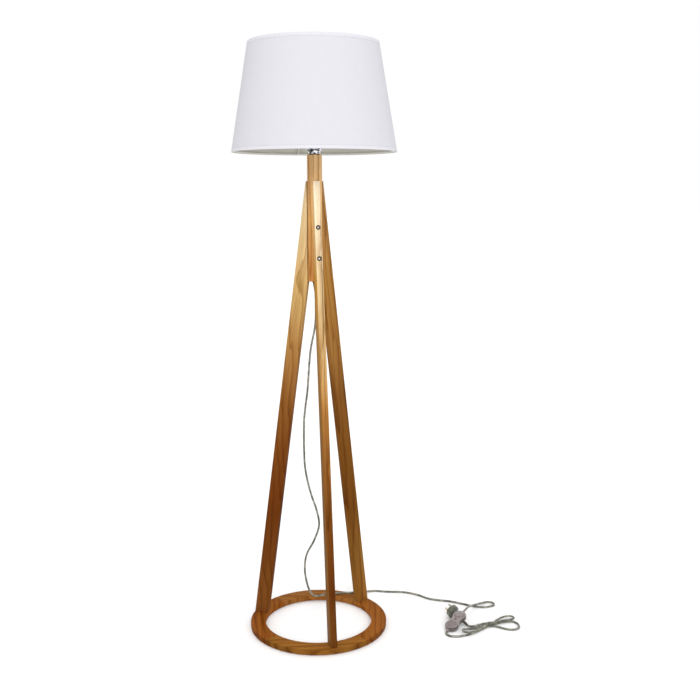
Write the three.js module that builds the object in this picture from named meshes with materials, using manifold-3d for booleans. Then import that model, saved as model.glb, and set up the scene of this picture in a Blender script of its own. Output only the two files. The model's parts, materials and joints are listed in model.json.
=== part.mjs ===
// Tripod floor lamp: three straight wooden legs round a short centre pole, standing on a flat wooden ring,
// with a tapered drum shade and a mains lead that carries a foot switch, a tied hank and a two-pin plug.
// Millimetres, +Z up. The origin is on the floor at the centre of the base ring; the front leg stands on -Y.
import * as THREE from "three";
import { mergeVertices } from "three/addons/utils/BufferGeometryUtils.js";
import Module from "manifold-3d";

const wasm = await Module();
wasm.setup();

// ---------------------------------------------------------------- driving dimensions
const HEIGHT = 1500;
const GAP = 0.3;

const RING = { outer: 181, inner: 142, thick: 15, chamfer: 1 };
const PAD = { radius: 11, thick: 1.5, count: 3 };
const RING_TOP = PAD.thick + RING.thick;

const LEG = { width: 17, depth: 37, footOuter: 179, topOuter: 21.4, topZ: 1170 };
const LEG_NAMES = ["front", "right", "left"];
const LEG_ANGLES = [-90, 30, 150];

const POLE = { radius: 18.5, bottom: 921, top: 1234, bore: 5.4, chamfer: 1.2 };
const NUT_POCKET = { radius: 10.5, depth: 9 };
const BOLT_HEIGHTS = { upper: 1057, lower: 981 };
const BOLT = { head: 5.25, headThick: 2.4, shank: 3, tip: 8.5, sunk: 0.5, socket: 2.4, socketDeep: 1.7 };
const INSERT = { outer: 4.6, inner: 3.3, from: 7.2, to: 18.2 };
const FOOT_SCREW = { head: 5, headHigh: 3, shank: 2.4, top: 48 };

const TUBE = { outer: 5, inner: 3.6, bottom: 922, top: 1246 };
const NUT = { flats: 14, thick: 5 };
const CORD_RADIUS = 2.75;
const GLAND = { bottom: 897, rootRadius: 7, tipRadius: 4.1 };

const SHADE = { bottom: 1240, top: HEIGHT, bottomRadius: 204.5, topRadius: 160.5 };
const SKIN_THICK = 1.2;
const TRIM = { thick: 0.5, high: 8 };
const WIRE = 1.9;
const SPIDER = { z: 1269.6, washerInner: 20.7, washerOuter: 28.5, washerThick: 2, armAngles: [90, 210, 330] };

const SWITCH = {
  centre: [349.7, -110.4, 9.6],
  yaw: 39.7,
  tilt: 14,
  lobeX: 21,
  lobeRadius: 18.5,
  waist: 13.8,
  parting: 6,
  top: 13,
  wall: 1.8,
  floor: 1.6,
  cordZ: 5.5,
  boot: 8,
};
const BUTTON = { radius: 12.8, flange: 14.2, shoulder: 10.9, ceiling: 13.2, top: 16 };

const PLUG = {
  rear: [365.7, -75.8, 13.4],
  yaw: 109.3,
  pitch: 14,
  roll: -45,
  face: 17.2,
  drum: 12,
  deep: 25,
  pinLong: 17,
};
const PIN = { wide: 6.3, thick: 1.6, offset: 6.9, splay: 30, sunk: 8.5 };
const RELIEF = { start: 0.7, long: 47.3, root: 4, tip: 3.1, endZ: 3.25, yaw: -72.5 };
const HANK_HIGH = 11.3;
const TIE = { x: 437, y: -134.5, wide: 7, inner: 10, outer: 11.4, high: 13.2 };

// The lead from the pole to the foot switch: down in slow curves, over the ring, and out across the floor.
const LEAD_TO_SWITCH = [
  [0, 0, 896.7], [0, 1, 870], [0, 4, 822], [-3, 7, 794], [-10, 13, 755], [-14, 18, 715], [-16, 24, 672],
  [-18, 30, 632], [-22, 36, 593], [-25, 43, 551], [-24.5, 50, 508], [-23, 57, 465], [-20, 64, 422],
  [-12, 71, 378], [0, 77, 333], [15, 83, 288], [23, 90, 243], [11, 102, 195], [-8, 115, 150],
  [-11, 126, 103], [-4, 134, 60], [3, 138, 38], [10, 138.2, 24], [20, 136.5, 15.5], [33, 132.5, 17.8],
  [46, 132, 20], [62, 133, 19.8], [82, 132, 19.4], [104, 130.5, 19.4], [126, 125.5, 19.4],
  [141, 129, 19.2], [157, 138.5, 13.6], [171, 150, 6.8], [185, 157.5, 3.4], [203, 156, 2.9],
  [222.5, 147, 2.85], [246, 138, 2.85], [269, 131, 2.85], [292, 118, 2.85], [313, 97.5, 2.85],
  [334, 67, 2.85], [358, 50, 2.85], [387, 34, 2.85], [415, 10, 2.85], [438, -12, 2.85], [455, -21.5, 2.85],
  [470, -26, 2.85], [485, -24, 2.85], [497, -17, 2.85], [501, -6.5, 2.85], [495.5, 3, 2.85],
  [483.5, 4.5, 3], [468, -3.5, 5.2], [450, -15, 8.9], [437, -25, 12.5], [424, -37, 17.5], [411, -51, 22.8],
  [399, -66, 26.6], [391.5, -75, 27.8], [384.4, -81.6, 26.5],
];
const LEAD_TO_HANK = [
  [312.5, -141.3, 3.3], [309.5, -144.7, 3], [308, -151.5, 2.85], [310.5, -160, 2.85], [318, -167, 2.85],
  [331, -171.5, 2.85], [348, -171.5, 2.85], [366, -168.2, 2.85], [380, -164.2, 2.85], [390, -160.4, 2.85],
];
const LEAD_TO_PLUG = [
  [379.85, -120.8, 3.15], [381.5, -125.3, 3.1], [384.8, -128.6, 3], [389.2, -130.9, 3],
];

const BRIDGE = { low: 6.4, top: 7, half: 6.6, contact: 4.8 };

const SEGMENTS = { shade: 48, ring: 48, round: 24, small: 16 };
const rad = THREE.MathUtils.degToRad;

// ---------------------------------------------------------------- materials
const paint = (color, roughness, metalness = 0, opacity = 1) =>
  new THREE.MeshStandardMaterial({ color, roughness, metalness, opacity, transparent: opacity < 1 });
const MATERIAL = {
  wood: paint(0xb07c46, 0.5),
  darkWood: paint(0x8a5528, 0.5),
  darkSteel: paint(0x4a4744, 0.4, 0.9),
  brass: paint(0xb08d4a, 0.35, 0.9),
  zincSteel: paint(0xb8b8b4, 0.4, 0.9),
  felt: paint(0x4b3a2c, 0.95),
  chrome: paint(0xd8d8da, 0.1, 1),
  whitePlastic: paint(0xe8e6e0, 0.5),
  blackPlastic: paint(0x26262a, 0.5),
  fabric: paint(0xf2f1f4, 0.9),
  trim: paint(0xf8f8fa, 0.9),
  opalGlass: paint(0xf5f4ee, 0.3),
  clearFlex: paint(0x8d8b7e, 0.4),
  smokePlastic: paint(0x8c827e, 0.3),
  greenPlastic: paint(0x7a8270, 0.3),
  darkRubber: paint(0x4b453f, 0.6),
};

// ---------------------------------------------------------------- geometry helpers
const signedArea = (points) =>
  points.reduce((sum, [x, y], i) => {
    const [nextX, nextY] = points[(i + 1) % points.length];
    return sum + (x * nextY - nextX * y) / 2;
  }, 0);

// A solid turned about Z from [radius, z] points: a closed loop, or an outline from the axis to the axis.
function turned(profile, segments = SEGMENTS.round) {
  const points = signedArea(profile) > 0 ? [...profile] : [...profile].reverse();
  const onAxis = points.filter(([radius]) => radius === 0).length === 2;
  if (onAxis) while (!(points[0][0] === 0 && points.at(-1)[0] === 0)) points.push(points.shift());
  else points.push(points[0]);
  const geometry = new THREE.LatheGeometry(points.map(([r, z]) => new THREE.Vector2(r, z)), segments);
  return geometry.rotateX(Math.PI / 2);
}

const disc = (radius, low, high, segments = SEGMENTS.small) =>
  turned([[0, low], [radius, low], [radius, high], [0, high]], segments);

const ringSolid = (inner, outer, low, high, segments = SEGMENTS.round) =>
  turned([[inner, low], [outer, low], [outer, high], [inner, high]], segments);

const box = (x0, x1, y0, y1, z0, z1) =>
  new THREE.BoxGeometry(x1 - x0, y1 - y0, z1 - z0).translate((x0 + x1) / 2, (y0 + y1) / 2, (z0 + z1) / 2);

// Turns a solid made about Z so that its axis runs along +X.
const alongX = (geometry) => geometry.rotateY(Math.PI / 2);

const polygonShape = (points) => new THREE.Shape(points.map(([x, y]) => new THREE.Vector2(x, y)));

function slab(shape, low, high, curveSegments = 12) {
  const options = { depth: high - low, bevelEnabled: false, curveSegments };
  return new THREE.ExtrudeGeometry(shape, options).translate(0, 0, low);
}

// A slab whose rims are rounded inwards by `round`, for moulded casings.
const pill = (shape, low, high, round, curveSegments = 8) =>
  new THREE.ExtrudeGeometry(shape, {
    depth: high - low - 2 * round,
    bevelEnabled: true,
    bevelThickness: round,
    bevelSize: round,
    bevelOffset: -round,
    bevelSegments: 2,
    curveSegments,
  }).translate(0, 0, low + round);

const regularPolygon = (radius, sides, turn = 0) =>
  Array.from({ length: sides }, (_, i) => {
    const angle = turn + (i * 2 * Math.PI) / sides;
    return [radius * Math.cos(angle), radius * Math.sin(angle)];
  });

// A round tube of one closed body along a smooth curve through the points.
function cordTube(points, radius, steps, sides = 8) {
  const curve = new THREE.CatmullRomCurve3(points.map((p) => new THREE.Vector3(...p)), false, "centripetal");
  const section = polygonShape(regularPolygon(radius, sides));
  return new THREE.ExtrudeGeometry(section, { steps, extrudePath: curve, bevelEnabled: false });
}

function toSolid(geometry) {
  const bare = geometry.clone();
  bare.deleteAttribute("normal");
  bare.deleteAttribute("uv");
  const merged = mergeVertices(bare, 1e-4);
  return new wasm.Manifold(
    new wasm.Mesh({
      numProp: 3,
      vertProperties: merged.attributes.position.array,
      triVerts: new Uint32Array(merged.index.array),
    }),
  );
}

function toGeometry(solid) {
  const { vertProperties, triVerts } = solid.getMesh();
  const geometry = new THREE.BufferGeometry();
  geometry.setAttribute("position", new THREE.BufferAttribute(vertProperties, 3));
  geometry.setIndex(new THREE.BufferAttribute(triVerts, 1));
  return geometry;
}

const cut = (body, ...tools) =>
  toGeometry(tools.reduce((solid, tool) => solid.subtract(toSolid(tool)), toSolid(body)));

const join = (body, ...others) =>
  toGeometry(others.reduce((solid, other) => solid.add(toSolid(other)), toSolid(body)));

const common = (body, other) => toGeometry(toSolid(body).intersect(toSolid(other)));

const hexNut = (flats, low, high, bore) =>
  cut(slab(polygonShape(regularPolygon(flats / Math.sqrt(3), 6)), low, high), disc(bore, low - 1, high + 1));

const lamp = new THREE.Group();

function piece(name, geometry, material, parent = lamp) {
  const mesh = new THREE.Mesh(geometry, material);
  mesh.name = name;
  parent.add(mesh);
  return mesh;
}

// ---------------------------------------------------------------- base ring, its pads and foot screws
const legMiddle = LEG.footOuter - LEG.depth / 2;

function screwHole(angle) {
  const bore = disc(FOOT_SCREW.shank + 0.5, PAD.thick - 1, RING_TOP + 1);
  const sink = turned([
    [0, PAD.thick - 1],
    [FOOT_SCREW.head + 1, PAD.thick - 1],
    [FOOT_SCREW.head + 0.5, PAD.thick + 0.4],
    [FOOT_SCREW.shank + 0.5, PAD.thick + FOOT_SCREW.headHigh + 0.6],
    [0, PAD.thick + FOOT_SCREW.headHigh + 0.6],
  ], SEGMENTS.small);
  return [bore, sink].map((tool) => tool.translate(legMiddle, 0, 0).rotateZ(rad(angle)));
}

function baseRing() {
  const { outer, inner, chamfer } = RING;
  const low = PAD.thick;
  const body = turned([
    [inner + chamfer, low],
    [outer - chamfer, low],
    [outer, low + chamfer],
    [outer, RING_TOP - chamfer],
    [outer - chamfer, RING_TOP],
    [inner + chamfer, RING_TOP],
    [inner, RING_TOP - chamfer],
    [inner, low + chamfer],
  ], SEGMENTS.ring);
  return cut(body, ...LEG_ANGLES.flatMap(screwHole));
}

// The two slots of a cross-head drive, `arm` long each way from the middle and `half` wide to each side.
const crossRecess = (arm, half, low, high) => [
  box(-arm, arm, -half, half, low, high),
  box(-half, half, -arm, arm, low, high),
];

function footScrew() {
  const low = PAD.thick + 0.4;
  const body = turned([
    [0, low],
    [FOOT_SCREW.head - 0.3, low],
    [FOOT_SCREW.shank, low + FOOT_SCREW.headHigh],
    [FOOT_SCREW.shank, FOOT_SCREW.top - 6],
    [0, FOOT_SCREW.top],
  ], SEGMENTS.small);
  return cut(body, ...crossRecess(2.6, 0.5, low - 1, low + 1.4));
}

piece("base_ring", baseRing(), MATERIAL.darkWood);
for (let i = 0; i < PAD.count; i++) {
  const middle = (RING.outer + RING.inner) / 2;
  const holder = new THREE.Group();
  holder.rotation.z = rad(LEG_ANGLES[i] + 60);
  piece(`floor_pad_${i + 1}`, disc(PAD.radius, 0, PAD.thick).translate(middle, 0, 0), MATERIAL.felt, holder);
  lamp.add(holder);
}

// ---------------------------------------------------------------- legs, their bolts and inserts
const legSlope = (LEG.footOuter - LEG.topOuter) / (LEG.topZ - RING_TOP);
const legOuterAt = (z) => LEG.topOuter + (LEG.topZ - z) * legSlope;
const legFlat = POLE.radius + GAP;
const kneeZ = LEG.topZ - (legFlat + LEG.depth - LEG.topOuter) / legSlope;
const boltFaceAt = (z) => legOuterAt(z) - BOLT.sunk;

function boltBore(z) {
  const face = boltFaceAt(z);
  const seat = face - BOLT.headThick - GAP;
  return [
    alongX(disc(BOLT.head + 0.45, seat, face + 8)).translate(0, 0, z),
    alongX(disc(BOLT.shank + 0.4, legFlat - 2, face)).translate(0, 0, z),
  ];
}

// The leg in its own upright plane: x is the distance from the lamp's axis.
function leg() {
  const outline = polygonShape([
    [LEG.footOuter, RING_TOP],
    [LEG.topOuter, LEG.topZ],
    [legFlat, LEG.topZ],
    [legFlat, kneeZ],
    [LEG.footOuter - LEG.depth, RING_TOP],
  ]);
  const bar = slab(outline, -LEG.width / 2, LEG.width / 2).rotateX(Math.PI / 2);
  const pilot = disc(FOOT_SCREW.shank + 0.4, RING_TOP - 1, FOOT_SCREW.top + 1).translate(legMiddle, 0, 0);
  return cut(bar, pilot, ...Object.values(BOLT_HEIGHTS).flatMap(boltBore));
}

function legBolt(z) {
  const face = boltFaceAt(z);
  const body = turned([
    [0, BOLT.tip],
    [BOLT.shank - 0.6, BOLT.tip],
    [BOLT.shank, BOLT.tip + 0.8],
    [BOLT.shank, face - BOLT.headThick],
    [BOLT.head, face - BOLT.headThick],
    [BOLT.head, face - 0.8],
    [BOLT.head - 0.9, face],
    [0, face],
  ], SEGMENTS.small);
  const socket = slab(polygonShape(regularPolygon(BOLT.socket, 6)), face - BOLT.socketDeep, face + 1);
  return alongX(cut(body, socket)).translate(0, 0, z);
}

const threadedInsert = (z) =>
  alongX(ringSolid(INSERT.inner, INSERT.outer, INSERT.from, INSERT.to, SEGMENTS.small)).translate(0, 0, z);

LEG_NAMES.forEach((side, i) => {
  const station = new THREE.Group();
  station.rotation.z = rad(LEG_ANGLES[i]);
  piece(`leg_${side}`, leg(), MATERIAL.wood, station);
  piece(`foot_screw_${side}`, footScrew().translate(legMiddle, 0, 0), MATERIAL.zincSteel, station);
  for (const [level, z] of Object.entries(BOLT_HEIGHTS)) {
    piece(`leg_bolt_${side}_${level}`, legBolt(z), MATERIAL.darkSteel, station);
    piece(`threaded_insert_${side}_${level}`, threadedInsert(z), MATERIAL.brass, station);
  }
  lamp.add(station);
});

// ---------------------------------------------------------------- centre pole and what runs through it
function centrePole() {
  const { radius, bottom, top, bore, chamfer } = POLE;
  const body = turned([
    [bore, bottom],
    [radius - chamfer, bottom],
    [radius, bottom + chamfer],
    [radius, top - chamfer],
    [radius - chamfer, top],
    [bore, top],
  ], 32);
  const pocket = disc(NUT_POCKET.radius, bottom - 1, bottom + NUT_POCKET.depth, SEGMENTS.round);
  const insertHole = (z, angle) =>
    alongX(disc(INSERT.outer + GAP, INSERT.from - GAP, radius + 2)).translate(0, 0, z).rotateZ(rad(angle));
  const insertRow = (z) => LEG_ANGLES.map((angle) => insertHole(z, angle));
  return cut(body, pocket, ...Object.values(BOLT_HEIGHTS).flatMap(insertRow));
}

function flangedNut() {
  const ceiling = POLE.bottom + NUT_POCKET.depth;
  const flange = ringSolid(TUBE.outer + GAP, NUT_POCKET.radius - 1, ceiling - 2, ceiling - GAP);
  return join(flange, hexNut(NUT.flats, ceiling - 2 - NUT.thick, ceiling - 1, TUBE.outer + GAP));
}

function cordGland() {
  const bore = CORD_RADIUS + GAP;
  return turned([
    [bore, GLAND.bottom],
    [GLAND.tipRadius, GLAND.bottom],
    [GLAND.rootRadius, POLE.bottom - 4],
    [GLAND.rootRadius + 1, POLE.bottom - 4],
    [GLAND.rootRadius + 1, POLE.bottom - 1],
    [GLAND.rootRadius, TUBE.bottom - GAP],
    [bore, TUBE.bottom - GAP],
  ], SEGMENTS.small);
}

piece("centre_pole", centrePole(), MATERIAL.wood);
const threadedTube = ringSolid(TUBE.inner, TUBE.outer, TUBE.bottom, TUBE.top, SEGMENTS.small);
piece("threaded_tube", threadedTube, MATERIAL.zincSteel);
piece("tube_nut", flangedNut(), MATERIAL.zincSteel);
piece("cord_gland", cordGland(), MATERIAL.darkRubber);

// ---------------------------------------------------------------- lampholder
const HOLDER = { cupFloor: POLE.top + GAP, baseLow: 1250.5, baseTop: 1261.7, flangeZ: 1266, skirtTop: 1290 };

function holderCup() {
  const outside = [
    [13.5, HOLDER.cupFloor],
    [13.8, 1235],
    [14.8, 1238.5],
    [16.8, 1242],
    [19.2, 1245.5],
    [20.8, 1249.5],
    [21.5, 1254],
    [21.5, HOLDER.flangeZ - GAP],
  ];
  const wall = 0.9;
  const inside = outside.slice(1).reverse().map(([radius, z]) => [radius - wall, z]);
  const floor = HOLDER.cupFloor + 1.5;
  return turned([[TUBE.outer + GAP, HOLDER.cupFloor], ...outside, ...inside.slice(0, -1), [12.7, floor],
    [TUBE.outer + GAP, floor]], SEGMENTS.round);
}

function holderSkirt() {
  const { baseTop, flangeZ, skirtTop } = HOLDER;
  return turned([
    [14.8, baseTop + GAP],
    [19.9, baseTop + GAP],
    [19.9, flangeZ],
    [22.3, flangeZ],
    [22.3, SPIDER.z - 1.5],
    [20.2, SPIDER.z - 1.5],
    [20.2, skirtTop - 1],
    [19.2, skirtTop],
    [14.8, skirtTop],
  ]);
}

function retainingRing() {
  const low = SPIDER.z + SPIDER.washerThick / 2 + GAP;
  const body = ringSolid(20.6, 24.4, low, low + 7);
  const notches = Array.from({ length: 6 }, (_, i) =>
    disc(1.8, low - 1, low + 8, 8).translate(25.3, 0, 0).rotateZ((i * Math.PI) / 3),
  );
  return cut(body, ...notches);
}

piece("holder_cup", holderCup(), MATERIAL.chrome);
const cupNutLow = HOLDER.cupFloor + 1.5 + GAP;
piece("cup_nut", hexNut(NUT.flats, cupNutLow, cupNutLow + NUT.thick, TUBE.outer + GAP), MATERIAL.zincSteel);
piece("holder_base", disc(18.8, HOLDER.baseLow, HOLDER.baseTop, SEGMENTS.round), MATERIAL.blackPlastic);
piece("centre_contact", disc(3, HOLDER.baseTop, HOLDER.baseTop + 2.4), MATERIAL.brass);
piece("holder_skirt", holderSkirt(), MATERIAL.whitePlastic);
piece("screw_shell", ringSolid(13.9, 14.5, HOLDER.baseTop + 1.3, 1287), MATERIAL.brass);
piece("shade_retaining_ring", retainingRing(), MATERIAL.whitePlastic);

const leadLong = [[0, 0, GLAND.bottom], [0, 0, HOLDER.baseLow - GAP]];
piece("lead_in_pole", disc(CORD_RADIUS, leadLong[0][2], leadLong[1][2], 8), MATERIAL.clearFlex);

// ---------------------------------------------------------------- bulb
function bulbCap() {
  const low = HOLDER.baseTop + 2.4 + GAP;
  const thread = Array.from({ length: 8 }, (_, i) => [i % 2 ? 12.6 : 13.5, low + 5 + i * 2.3]);
  return turned([[0, low], [5, low], [11.5, low + 4], ...thread, [13, 1289], [0, 1289]], SEGMENTS.round);
}

const bulbOutline = (shrink) => {
  const sphere = { radius: 30 - shrink, z: 1344 };
  const arc = Array.from({ length: 10 }, (_, i) => {
    const angle = rad(-38 + (i * 128) / 9);
    return [i === 9 ? 0 : sphere.radius * Math.cos(angle), sphere.z + sphere.radius * Math.sin(angle)];
  });
  return [[0, 1289 + GAP - shrink], [13 - shrink, 1289 + GAP - shrink], [13.6 - shrink, 1300], ...arc];
};

piece("bulb_cap", bulbCap(), MATERIAL.zincSteel);
piece("bulb_globe", cut(turned(bulbOutline(0)), turned(bulbOutline(1.2))), MATERIAL.opalGlass);

// ---------------------------------------------------------------- shade
const shadeSlope = (SHADE.bottomRadius - SHADE.topRadius) / (SHADE.top - SHADE.bottom);
const shadeRadiusAt = (z) => SHADE.bottomRadius - (z - SHADE.bottom) * shadeSlope;

// A band of the shade's cone, `inset` inside its outermost surface.
const coneBand = (low, high, inset, thick) =>
  turned([
    [shadeRadiusAt(low) - inset - thick, low],
    [shadeRadiusAt(low) - inset, low],
    [shadeRadiusAt(high) - inset, high],
    [shadeRadiusAt(high) - inset - thick, high],
  ], SEGMENTS.shade);

function wireRing(radius, z) {
  const section = regularPolygon(WIRE, 6).map(([x, y]) => [radius + x, z + y]);
  return turned(section, SEGMENTS.shade);
}

const skinInset = TRIM.thick + GAP;
const bottomWireZ = SHADE.bottom + WIRE + 1.3;
const topWireZ = SHADE.top - WIRE - 1.3;
const wireRadiusAt = (z) => shadeRadiusAt(z) - skinInset - SKIN_THICK - WIRE - 0.6;

function spider() {
  const washer = ringSolid(
    SPIDER.washerInner,
    SPIDER.washerOuter,
    SPIDER.z - SPIDER.washerThick / 2,
    SPIDER.z + SPIDER.washerThick / 2,
  );
  const rim = wireRadiusAt(bottomWireZ);
  const at = (radius, z) => new THREE.Vector3(radius, 0, z);
  const knee = [at(181, SPIDER.z), at(189.5, SPIDER.z), at(192, SPIDER.z - 5.5)];
  const bend = new THREE.QuadraticBezierCurve3(...knee);
  const points = [at(SPIDER.washerOuter - 1.5, SPIDER.z), ...bend.getPoints(4), at(rim, bottomWireZ)];
  const arms = SPIDER.armAngles.map((angle) => {
    const rods = points.slice(1).map((end, i) => rod(points[i], end, WIRE));
    return rods.reduce((body, next) => join(body, next)).rotateZ(rad(angle));
  });
  return join(washer, wireRing(rim, bottomWireZ), ...arms);
}

// A round rod between two points, with a short overrun at its far end so that rods in a row join.
function rod(from, to, radius) {
  const along = new THREE.Vector3().subVectors(to, from);
  const upright = new THREE.Vector3(0, 0, 1);
  const turn = new THREE.Quaternion().setFromUnitVectors(upright, along.clone().normalize());
  return disc(radius, 0, along.length() + 0.6, 8).applyQuaternion(turn).translate(from.x, from.y, from.z);
}

piece("shade_spider", spider(), MATERIAL.whitePlastic);
piece("shade_top_wire", wireRing(wireRadiusAt(topWireZ), topWireZ), MATERIAL.whitePlastic);
piece("shade_skin", coneBand(SHADE.bottom, SHADE.top, skinInset, SKIN_THICK), MATERIAL.fabric);
piece("bottom_trim", coneBand(SHADE.bottom, SHADE.bottom + TRIM.high, 0, TRIM.thick), MATERIAL.trim);
piece("top_trim", coneBand(SHADE.top - TRIM.high, SHADE.top, 0, TRIM.thick), MATERIAL.trim);

// ---------------------------------------------------------------- foot switch
// Its own frame: x along its length towards the lamp-side cord, z up from its flat underside.
const waistArc = (() => {
  const { lobeX, lobeRadius, waist } = SWITCH;
  const radius = (lobeX ** 2 + waist ** 2 - lobeRadius ** 2) / (2 * (lobeRadius - waist));
  return { radius, centre: waist + radius, angle: Math.atan2(waist + radius, -lobeX) };
})();

// The two-lobed outline of the switch, `inset` inside its rim.
function switchOutline(inset) {
  const { lobeX, lobeRadius } = SWITCH;
  const { radius, centre, angle } = waistArc;
  const shape = new THREE.Shape();
  shape.absarc(lobeX, 0, lobeRadius - inset, -angle, angle, false);
  shape.absarc(0, centre, radius + inset, angle - Math.PI, -angle, true);
  shape.absarc(-lobeX, 0, lobeRadius - inset, Math.PI - angle, Math.PI + angle, false);
  shape.absarc(0, -centre, radius + inset, angle, Math.PI - angle, true);
  return shape;
}

const switchTip = SWITCH.lobeX + SWITCH.lobeRadius;
const cordHoles = [1, -1].map((end) => {
  const hole = alongX(disc(CORD_RADIUS + 0.6, switchTip - 9, switchTip + 6)).translate(0, 0, SWITCH.cordZ);
  return end > 0 ? hole : hole.rotateZ(Math.PI);
});

function switchBase() {
  const { parting, wall, floor } = SWITCH;
  const outer = common(pill(switchOutline(0), 0, 30, 1.5), box(-60, 60, -30, 30, -1, parting));
  const hollow = slab(switchOutline(wall), floor, 30);
  const boss = disc(3, floor - 0.5, parting - GAP);
  const shell = join(cut(outer, hollow), boss);
  return cut(shell, disc(1.5, floor + 0.4, parting + 1), ...cordHoles);
}

function switchCover() {
  const { parting, wall, top, lobeX } = SWITCH;
  const low = parting + GAP;
  const outer = common(pill(switchOutline(0), -20, top, 4), box(-60, 60, -30, 30, low, 30));
  const hollow = pill(switchOutline(wall), -20, top - 1.6, 2);
  const boss = disc(3, low, top - 1);
  const shell = join(cut(outer, hollow), boss);
  const buttonHole = disc(BUTTON.radius + 0.4, low, top + 1, 32).translate(lobeX, 0, 0);
  return cut(shell, buttonHole, disc(1.5, low - 1, top), disc(2.9, top - 1.6, top + 1), ...cordHoles);
}

function switchScrew() {
  const { top, floor } = SWITCH;
  const head = top - 0.3;
  const body = turned([
    [0, floor + 0.9],
    [1.2, floor + 0.9],
    [1.2, head - 1],
    [2.6, head - 1],
    [2.6, head - 0.3],
    [2, head],
    [0, head],
  ], 12);
  return cut(body, ...crossRecess(2, 0.3, head - 0.6, head + 1));
}

function switchButton() {
  const { radius, flange, shoulder, ceiling, top } = BUTTON;
  const bore = radius - 1.8;
  const post = [[0, BRIDGE.top + GAP], [2.4, BRIDGE.top + GAP], [2.4, ceiling], [bore, ceiling]];
  const rim = [[bore, shoulder - 1.2], [flange, shoulder - 1.2], [flange, shoulder], [radius, shoulder]];
  const edge = [[radius, top - 2.4], [radius - 1.2, top - 1.3]];
  const crown = [[radius - 4, top - 0.6], [radius - 8, top - 0.1], [0, top]];
  const body = turned([...post, ...rim, ...edge, ...crown], 32);
  return body.translate(SWITCH.lobeX, 0, 0);
}

function buttonSpring() {
  const turns = 2.5;
  const helix = { radius: 9, low: SWITCH.floor + 0.9, high: BUTTON.ceiling - 0.9, wire: 0.45, perTurn: 12 };
  const points = Array.from({ length: turns * helix.perTurn + 1 }, (_, i) => {
    const angle = (i * 2 * Math.PI) / helix.perTurn;
    const z = helix.low + ((helix.high - helix.low) * i) / (turns * helix.perTurn);
    return [SWITCH.lobeX + helix.radius * Math.cos(angle), helix.radius * Math.sin(angle), z];
  });
  return cordTube(points, helix.wire, turns * helix.perTurn, 6);
}

function fixedContact(side) {
  const { lobeX, floor } = SWITCH;
  const middle = lobeX + side * BRIDGE.contact;
  const strip = box(middle - 2, middle + 2, -2.5, 2.5, floor + GAP, floor + GAP + 0.9);
  return join(strip, disc(1.5, floor + 0.8, BRIDGE.low - 2.6, 12).translate(middle, 0, 0));
}

function cordBoot() {
  const inside = switchTip - 4;
  const tip = switchTip + SWITCH.boot;
  return alongX(turned([[0, inside], [CORD_RADIUS + 0.25, inside], [CORD_RADIUS + 0.25, switchTip + 0.4],
    [4, switchTip + 0.4], [4, switchTip + 1.6], [3.15, tip], [0, tip]], SEGMENTS.small))
    .translate(0, 0, SWITCH.cordZ);
}

const footSwitch = new THREE.Group();
footSwitch.position.set(...SWITCH.centre);
footSwitch.rotation.set(0, -rad(SWITCH.tilt), rad(SWITCH.yaw), "ZYX");
lamp.add(footSwitch);
piece("switch_base", switchBase(), MATERIAL.smokePlastic, footSwitch);
piece("switch_cover", switchCover(), MATERIAL.smokePlastic, footSwitch);
piece("switch_screw", switchScrew(), MATERIAL.darkSteel, footSwitch);
piece("switch_button", switchButton(), MATERIAL.smokePlastic, footSwitch);
piece("button_spring", buttonSpring(), MATERIAL.zincSteel, footSwitch);
const bridge = box(SWITCH.lobeX - BRIDGE.half, SWITCH.lobeX + BRIDGE.half, -2.5, 2.5, BRIDGE.low, BRIDGE.top);
piece("contact_bridge", bridge, MATERIAL.brass, footSwitch);
piece("fixed_contact_supply", fixedContact(-1), MATERIAL.brass, footSwitch);
piece("fixed_contact_lamp", fixedContact(1), MATERIAL.brass, footSwitch);
piece("switch_boot_lamp", cordBoot(), MATERIAL.smokePlastic, footSwitch);
piece("switch_boot_supply", cordBoot().rotateZ(Math.PI), MATERIAL.smokePlastic, footSwitch);

// ---------------------------------------------------------------- plug
// Its own frame: x along the pins, from the rear of the body; the face is at x = deep.
function pinSlab(side, from, to, grow) {
  const wide = PIN.wide / 2 + grow;
  const thick = PIN.thick / 2 + grow;
  const blade = box(from, to, -thick, thick, -wide, wide);
  return blade.rotateX(side * rad(PIN.splay)).translate(0, side * PIN.offset, 0);
}

function plugBody() {
  const { face, deep, drum } = PLUG;
  const neck = deep - drum;
  const body = alongX(turned([
    [0, 0], [4.6, 0], [5.6, neck * 0.35], [8.4, neck * 0.62], [12.6, neck * 0.86], [face - 1.2, neck],
    [face, neck + 1.4], [face, deep - 1.5], [face - 1.2, deep], [0, deep],
  ], SEGMENTS.round));
  const slots = [1, -1].map((side) => pinSlab(side, deep - PIN.sunk - GAP, deep + 1, GAP));
  return cut(body, ...slots);
}

const plug = new THREE.Group();
plug.position.set(...PLUG.rear);
plug.rotation.set(rad(PLUG.roll), -rad(PLUG.pitch), rad(PLUG.yaw), "ZYX");
lamp.add(plug);
piece("plug_body", plugBody(), MATERIAL.greenPlastic, plug);
const pinEnds = [PLUG.deep - PIN.sunk, PLUG.deep + PLUG.pinLong];
piece("plug_pin_live", pinSlab(1, ...pinEnds, 0), MATERIAL.brass, plug);
piece("plug_pin_neutral", pinSlab(-1, ...pinEnds, 0), MATERIAL.brass, plug);

const reliefDrop = Math.asin((PLUG.rear[2] - RELIEF.endZ) / RELIEF.long);
const relief = new THREE.Group();
relief.position.set(...PLUG.rear);
relief.rotation.set(0, reliefDrop, rad(RELIEF.yaw), "ZYX");
lamp.add(relief);
const reliefBody = alongX(turned([[0, RELIEF.start], [RELIEF.root, RELIEF.start], [RELIEF.root, 4],
  [RELIEF.tip, RELIEF.long], [0, RELIEF.long]], SEGMENTS.small));
piece("plug_strain_relief", reliefBody, MATERIAL.darkRubber, relief);

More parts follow.
